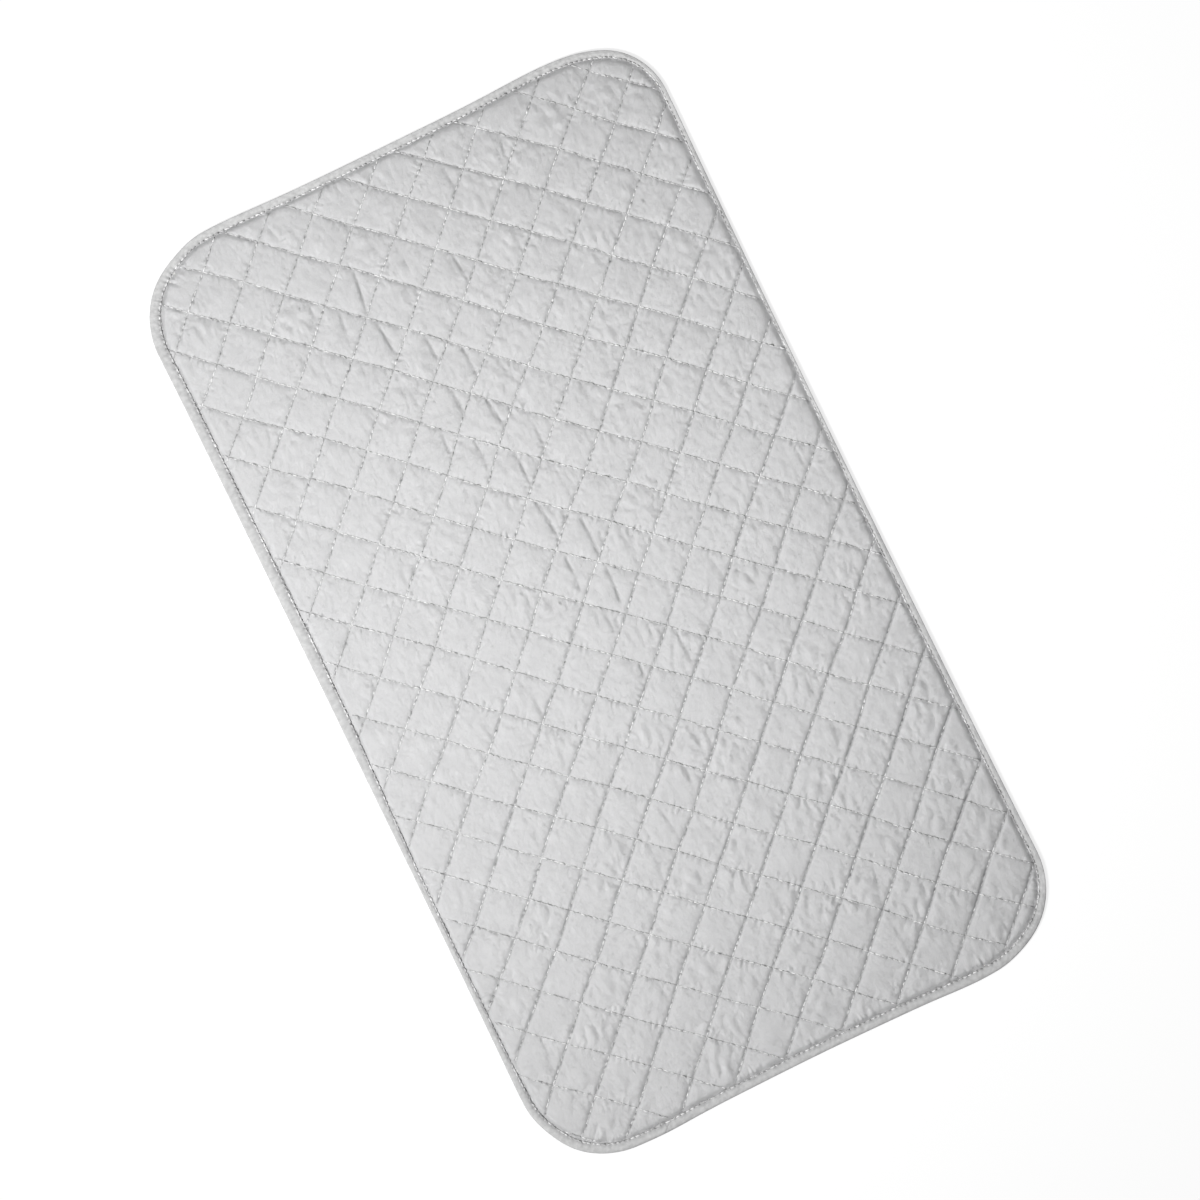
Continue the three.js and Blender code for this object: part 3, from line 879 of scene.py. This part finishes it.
def stitch_shape(sides, rings):
    """One stitch, modelled once: a tube of unit length along X, cut into rings."""
    bpy.ops.mesh.primitive_cylinder_add(
        vertices=sides, radius=1.0, depth=1.0, end_fill_type="NGON", rotation=(0, math.pi / 2, 0)
    )
    tool = bpy.context.active_object
    bpy.ops.object.transform_apply(location=True, rotation=True, scale=True)
    use_mode("EDIT")
    bpy.ops.mesh.select_all(action="DESELECT")
    use_mode("OBJECT")
    for edge in tool.data.edges:
        ends = [tool.data.vertices[n].co for n in edge.vertices]
        edge.select = abs(ends[0].x - ends[1].x) > 0.5
    use_mode("EDIT")
    bpy.ops.mesh.select_mode(type="EDGE")
    bpy.ops.mesh.subdivide(number_cuts=rings - 2)
    use_mode("OBJECT")
    points = points_of(tool)
    mesh = tool.data
    faces = [list(face.vertices) for face in mesh.polygons]
    bpy.data.objects.remove(tool)
    bpy.data.meshes.remove(mesh)
    return points, faces


def lay_stitches(shape, start, middle, end, radius, rise, seed):
    """Copies of the stitch from hole to hole. rise is +1 on the face and -1 on the underside."""
    points, faces = shape
    rng = np.random.default_rng(seed)
    stout = rng.uniform(0.75, 1.3, len(start))
    proud = rng.normal(0, 0.20 * MM, len(start))
    slant = STITCH_SLANT * rng.uniform(-0.8, 1.8, len(start))
    run = end - start
    ahead = run / np.linalg.norm(run, axis=1, keepdims=True)
    aside = np.stack([-ahead[:, 1], ahead[:, 0], np.zeros(len(ahead))], -1)
    aside /= np.linalg.norm(aside, axis=1, keepdims=True)
    up = np.cross(ahead, aside)
    t = np.clip(points[:, 0] + 0.5, 0, 1)
    sag = 0.9 * radius
    bow = np.clip(np.sin(math.pi * t), 0, 1) ** 0.55
    above = (middle - (start + end) / 2)[:, 2] * rise
    crest = above + 0.9 * radius + sag + np.clip(proud, -0.25 * MM, 0.45 * MM)
    line = start[:, None, :] + run[:, None, :] * t[None, :, None]
    swerve = slant[:, None] * np.sin(2 * math.pi * (t - 0.25))[None, :]
    line = line + aside[:, None, :] * swerve[..., None]
    line = line + np.array([0, 0, rise]) * (crest[:, None] * bow[None, :] - sag)[..., None]
    thick = radius * stout[:, None] * (0.72 + 0.28 * np.sin(math.pi * t))[None, :]
    line = line + aside[:, None, :] * (points[:, 1] * thick)[..., None]
    line = line + up[:, None, :] * (points[:, 2] * thick)[..., None]
    line[..., 2] = np.maximum(line[..., 2], 0)
    stride = len(points)
    made = [[n + stride * copy for n in face] for copy in range(len(start)) for face in faces]
    return line.reshape(-1, 3), made


def row_holes(grid, points, family, row):
    """Where the stitches of one row start, the cloth's points half way along them, and where they end."""
    hole = grid.steps // STITCHES_PER_DIAMOND
    own, other = (grid.a, grid.b) if family == 0 else (grid.b, grid.a)
    on = np.nonzero((own == row * grid.steps) & (grid.clear > 0))[0]
    by_place = {int(other[n]): int(n) for n in on}
    first = [place for place in sorted(by_place) if place % hole == 0 and place + hole in by_place]
    return [np.array([points[by_place[place + n]] for place in first]) for n in (0, hole // 2, hole)]


def sew_rows(face_grid, face_points, back_grid, back_points):
    """One piece of thread work for each quilting row, with its stitches on both sides."""
    over_shape = stitch_shape(5, 6)
    under_shape = stitch_shape(4, 4)
    made = []
    for family, letter in enumerate("ab"):
        nodes = sorted(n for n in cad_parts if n.startswith("quilt_row_" + letter))
        on_face = {
            row: row_holes(face_grid, face_points, family, row)
            for row in range(-ROWS_EACH_WAY, ROWS_EACH_WAY + 1)
        }
        sewn = [row for row, places in on_face.items() if len(places[0]) > 1]
        for node, row in zip(nodes, sewn):
            seed = 100 * family + row + 50
            on_back = row_holes(back_grid, back_points, family, row)
            over, over_faces = lay_stitches(over_shape, *on_face[row], THREAD_RADIUS, 1, seed)
            under, under_faces = lay_stitches(under_shape, *on_back, THREAD_RADIUS, -1, seed + 1000)
            faces = over_faces + [[n + len(over) for n in face] for face in under_faces]
            made.append((node, mesh_object(node + "_stitches", np.concatenate([over, under]), faces)))
    return made


def sew_seam(along, total, seam_line):
    """The binding's stitches, on the tape's upper leg."""
    count = round(total / SEAM_STITCH)
    stitch = total / count
    places = np.arange(count + 1) * stitch
    closed = np.concatenate([seam_line, seam_line[:1]])
    run = np.concatenate([along, [total]])

    def at(where):
        wrapped = np.mod(where, total)
        return np.stack([np.interp(wrapped, run, closed[:, axis]) for axis in range(3)], -1)

    start, middle, end = at(places[:-1]), at(places[:-1] + stitch / 2), at(places[1:])
    points, faces = lay_stitches(stitch_shape(5, 6), start, middle, end, SEAM_THREAD_RADIUS, 1, 7)
    return mesh_object("binding_thread_stitches", points, faces)


def feed(node, inputs):
    """Gives a node's inputs numbers, colours or the outputs of other nodes."""
    for name, value in inputs.items():
        if isinstance(value, bpy.types.NodeSocket):
            node.id_data.links.new(value, node.inputs[name])
        else:
            node.inputs[name].default_value = value


def add_node(tree, kind, inputs=None, **settings):
    """A new node with its settings and inputs. Gives back the node."""
    node = tree.nodes.new(kind)
    for name, value in settings.items():
        setattr(node, name, value)
    feed(node, inputs or {})
    return node


def math_node(tree, operation, *values):
    return add_node(tree, "ShaderNodeMath", dict(enumerate(values)), operation=operation).outputs[0]


def noise(tree, where, scale, **inputs):
    return add_node(tree, "ShaderNodeTexNoise", {"Vector": where, "Scale": scale, **inputs}).outputs["Fac"]


def between(tree, value, low, high):
    """Brings a value that goes from 0 to 1 between two others."""
    inputs = {"Value": value, "To Min": low, "To Max": high}
    return add_node(tree, "ShaderNodeMapRange", inputs).outputs["Result"]


def relief(tree, height, distance):
    """The normal of a surface with fine relief."""
    inputs = {"Height": height, "Strength": 1.0, "Distance": distance}
    return add_node(tree, "ShaderNodeBump", inputs).outputs["Normal"]


def tone_ramp(tree, tone, colour, dark, light):
    """A colour that goes from a darker to a lighter tone of itself. dark and light: position and share."""
    ramp = add_node(tree, "ShaderNodeValToRGB", {"Fac": tone})
    for element, (position, share) in zip(ramp.color_ramp.elements, (dark, light)):
        element.position = position
        element.color = (*[min(1, c * share) for c in colour], 1)
    return ramp.outputs["Color"]


def new_material(name, inputs):
    """A material, its node tree, and its shader with some inputs set."""
    material = bpy.data.materials.new(name)
    material.use_nodes = True
    shader = material.node_tree.nodes["Principled BSDF"]
    feed(shader, inputs)
    return material, material.node_tree, shader


def cloth_group():
    """Woven cloth: threads that pass over and under each other, a fine crinkle, slow changes of tone."""
    group = bpy.data.node_groups.new("woven_cloth", "ShaderNodeTree")
    group.interface.new_socket("Vector", in_out="INPUT", socket_type="NodeSocketVector")
    for name in ("Threads per metre", "Crinkle scale", "Tone scale"):
        group.interface.new_socket(name, in_out="INPUT", socket_type="NodeSocketFloat")
    for name in ("Tone", "Height"):
        group.interface.new_socket(name, in_out="OUTPUT", socket_type="NodeSocketFloat")
    source = add_node(group, "NodeGroupInput").outputs
    place = add_node(group, "ShaderNodeSeparateXYZ", {0: source["Vector"]}).outputs
    rate = math_node(group, "MULTIPLY", source["Threads per metre"], math.pi)
    across = math_node(group, "SINE", math_node(group, "MULTIPLY", place[0], rate))
    down = math_node(group, "SINE", math_node(group, "MULTIPLY", place[1], rate))
    weave = math_node(group, "MULTIPLY", math_node(group, "MULTIPLY", across, down), 0.25)
    crinkle = noise(group, source["Vector"], source["Crinkle scale"], Detail=5.0, Roughness=0.6)
    tone = noise(group, source["Vector"], source["Tone scale"], Detail=4.0)
    add_node(group, "NodeGroupOutput", {"Tone": tone, "Height": math_node(group, "ADD", weave, crinkle)})
    return group


def cloth_material(
    name, woven, colour, roughness, threads, crinkle, bump, metallic=0.0, marks=(), tones=(55, 0.95, 1.04)
):
    """A woven cloth. marks: the painted shade that darkens it, and how much. tones: scale of its tones,
    darkest, lightest.
    """
    surface = {"Metallic": metallic, "Sheen Weight": 0.08, "Specular IOR Level": 0.4}
    material, tree, shader = new_material(name, surface)
    where = add_node(tree, "ShaderNodeUVMap", uv_map="flat").outputs[0]
    scales = {"Threads per metre": threads, "Crinkle scale": crinkle, "Tone scale": tones[0]}
    cloth = add_node(tree, "ShaderNodeGroup", {"Vector": where, **scales}, node_tree=woven).outputs
    tone = cloth["Tone"]
    shade = tone_ramp(tree, tone, colour, (0.3, tones[1]), (0.7, tones[2]))
    # Each mark mixes painted shade into the cloth's colour
    for mark, share in marks:
        read = add_node(tree, "ShaderNodeAttribute", attribute_name=mark).outputs["Fac"]
        inputs = {"Factor": math_node(tree, "MULTIPLY", read, share), "A": shade, "B": PAINTED_SHADE_COLOUR}
        mix = add_node(tree, "ShaderNodeMix", inputs, data_type="RGBA", blend_type="MIX")
        shade = mix.outputs["Result"]
    feed(shader, {
        "Base Color": shade,
        "Roughness": between(tree, tone, roughness - 0.06, roughness + 0.06),
        "Normal": relief(tree, cloth["Height"], bump),
    })
    return material


def thread_material(name, colour):
    """Twisted sewing thread, brighter and darker from stitch to stitch."""
    material, tree, shader = new_material(name, {"Sheen Weight": 0.1})
    where = add_node(tree, "ShaderNodeTexCoord").outputs["Object"]
    twist = noise(tree, where, 320.0)
    shift = noise(tree, where, 130.0, Detail=1.0)
    both = math_node(tree, "MULTIPLY", math_node(tree, "ADD", twist, shift), 0.5)
    feed(shader, {
        "Base Color": tone_ramp(tree, both, colour, (0.45, 0.52), (0.57, 1.12)),
        "Roughness": between(tree, twist, 0.45, 0.65),
        "Normal": relief(tree, twist, 0.05 * MM),
    })
    return material


def table_material():
    """A plain white table. Its brightness for the camera doesn't light the pad."""
    grey = (TABLE_GREY, TABLE_GREY, TABLE_GREY, 1)
    surface = {"Base Color": grey, "Roughness": 0.9, "Specular IOR Level": 0.0, "Emission Color": WHITE}
    material, tree, shader = new_material("white_table", surface)
    ray = add_node(tree, "ShaderNodeLightPath").outputs
    seen = math_node(tree, "MAXIMUM", ray["Is Camera Ray"], ray["Is Glossy Ray"])
    feed(shader, {"Emission Strength": math_node(tree, "MULTIPLY", seen, TABLE_GLOW)})
    return material


def add_table():
    bpy.ops.mesh.primitive_plane_add(size=8.0, location=(0, 0, 0))
    table = bpy.context.active_object
    table.name = "table_top"
    table.data.materials.append(table_material())


def add_sky():
    """White surroundings, brighter overhead."""
    world = bpy.data.worlds.new("studio")
    bpy.context.scene.world = world
    world.use_nodes = True
    tree = world.node_tree
    where = add_node(tree, "ShaderNodeTexCoord").outputs["Generated"]
    up = add_node(tree, "ShaderNodeSeparateXYZ", {0: where}).outputs["Z"]
    feed(tree.nodes["Background"], {"Color": WHITE, "Strength": between(tree, up, *SKY_STRENGTH)})


def on_picture(across, along):
    """A place on the pad, given across and along the picture from its middle."""
    right = np.array([math.cos(VIEW_TURN), math.sin(VIEW_TURN)])
    up = np.array([-math.sin(VIEW_TURN), math.cos(VIEW_TURN)])
    return right * across + up * along


def add_lamp():
    light = bpy.data.lights.new("window_lamp", "AREA")
    light.size = LAMP_SIZE
    light.energy = LAMP_WATTS
    light.spread = LAMP_SPREAD
    lamp = new_object("window_lamp", light)
    place = on_picture(*LAMP_PLACE)
    ahead = on_picture(*LAMP_AIM) - place
    lean = math.atan2(math.hypot(*ahead), LAMP_HEIGHT)
    lamp.location = (*place, LAMP_HEIGHT)
    lamp.rotation_euler = (0, -lean, math.atan2(ahead[1], ahead[0]))


def add_camera():
    """A camera straight above the pad. Its picture's width is measured a little above the table."""
    camera = bpy.data.cameras.new("photo_camera")
    camera.sensor_width = SENSOR_WIDTH_MM
    camera.lens = SENSOR_WIDTH_MM * (VIEW_HEIGHT - 2 * MM) / VIEW_WIDTH
    seat = new_object("photo_camera", camera)
    seat.location = (*on_picture(*VIEW_SHIFT), VIEW_HEIGHT)
    seat.rotation_euler = (0, 0, VIEW_TURN)
    bpy.context.scene.camera = seat


add_table()
add_sky()
add_lamp()
add_camera()
bpy.context.scene.view_settings.view_transform = "Standard"

face, face_grid, face_points = sew_face()
backing, back_grid, back_points = sew_backing()
wadding = fill_wadding(face_grid, face_points, back_grid, back_points)
tape, along, total, seam_line = fold_tape()
seam = sew_seam(along, total, seam_line)
rows = sew_rows(face_grid, face_points, back_grid, back_points)

for piece in (face, backing, wadding, tape, seam, *[row for _, row in rows]):
    points = points_of(piece)
    dx, dy = pulled_in(points[:, 0], points[:, 1])
    points[:, 0] += dx
    points[:, 1] += dy
    set_points(piece, points)

woven = cloth_group()
# The face's painted shade: in the grooves and beside the tape, at the needle holes and in the folds
silver = cloth_material(
    "silver_coated_cloth", woven, (0.68, 0.68, 0.685),
    roughness=0.5, threads=1900, crinkle=240, bump=0.35 * MM, metallic=0.25,
    marks=(("painted_recess_shade", 0.18), ("painted_hole_shade", 0.95), ("painted_fold_shade", 0.36)),
)
plain = cloth_material(
    "plain_backing_cloth", woven, (0.66, 0.66, 0.65),
    roughness=0.9, threads=1700, crinkle=300, bump=0.08 * MM,
)
# The tape's painted shade: along its inner edge, beside its seam, at the lap and at the seam's holes
binding = cloth_material(
    "grey_binding_tape", woven, (0.655, 0.655, 0.655),
    roughness=0.7, threads=2300, crinkle=300, bump=0.1 * MM,
    marks=(("painted_recess_shade", 0.5), ("painted_hole_shade", 0.8)), tones=(260, 0.84, 1.08),
)
filling = cloth_material(
    "white_wadding", woven, (0.85, 0.84, 0.81),
    roughness=0.95, threads=900, crinkle=500, bump=0.3 * MM,
)
thread = thread_material("grey_thread", (0.94, 0.94, 0.94))

for piece, node, material, slot in (
    (face, "face_cloth", silver, "face"),
    (backing, "backing_cloth", plain, "backing"),
    (wadding, "wadding", filling, "wadding"),
    (tape, "edge_binding", binding, "binding"),
    (seam, "binding_thread", thread, "thread"),
    *[(row, node, thread, "thread") for node, row in rows],
):
    piece.data.materials.append(material)
    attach(piece, "root")
    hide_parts(node)

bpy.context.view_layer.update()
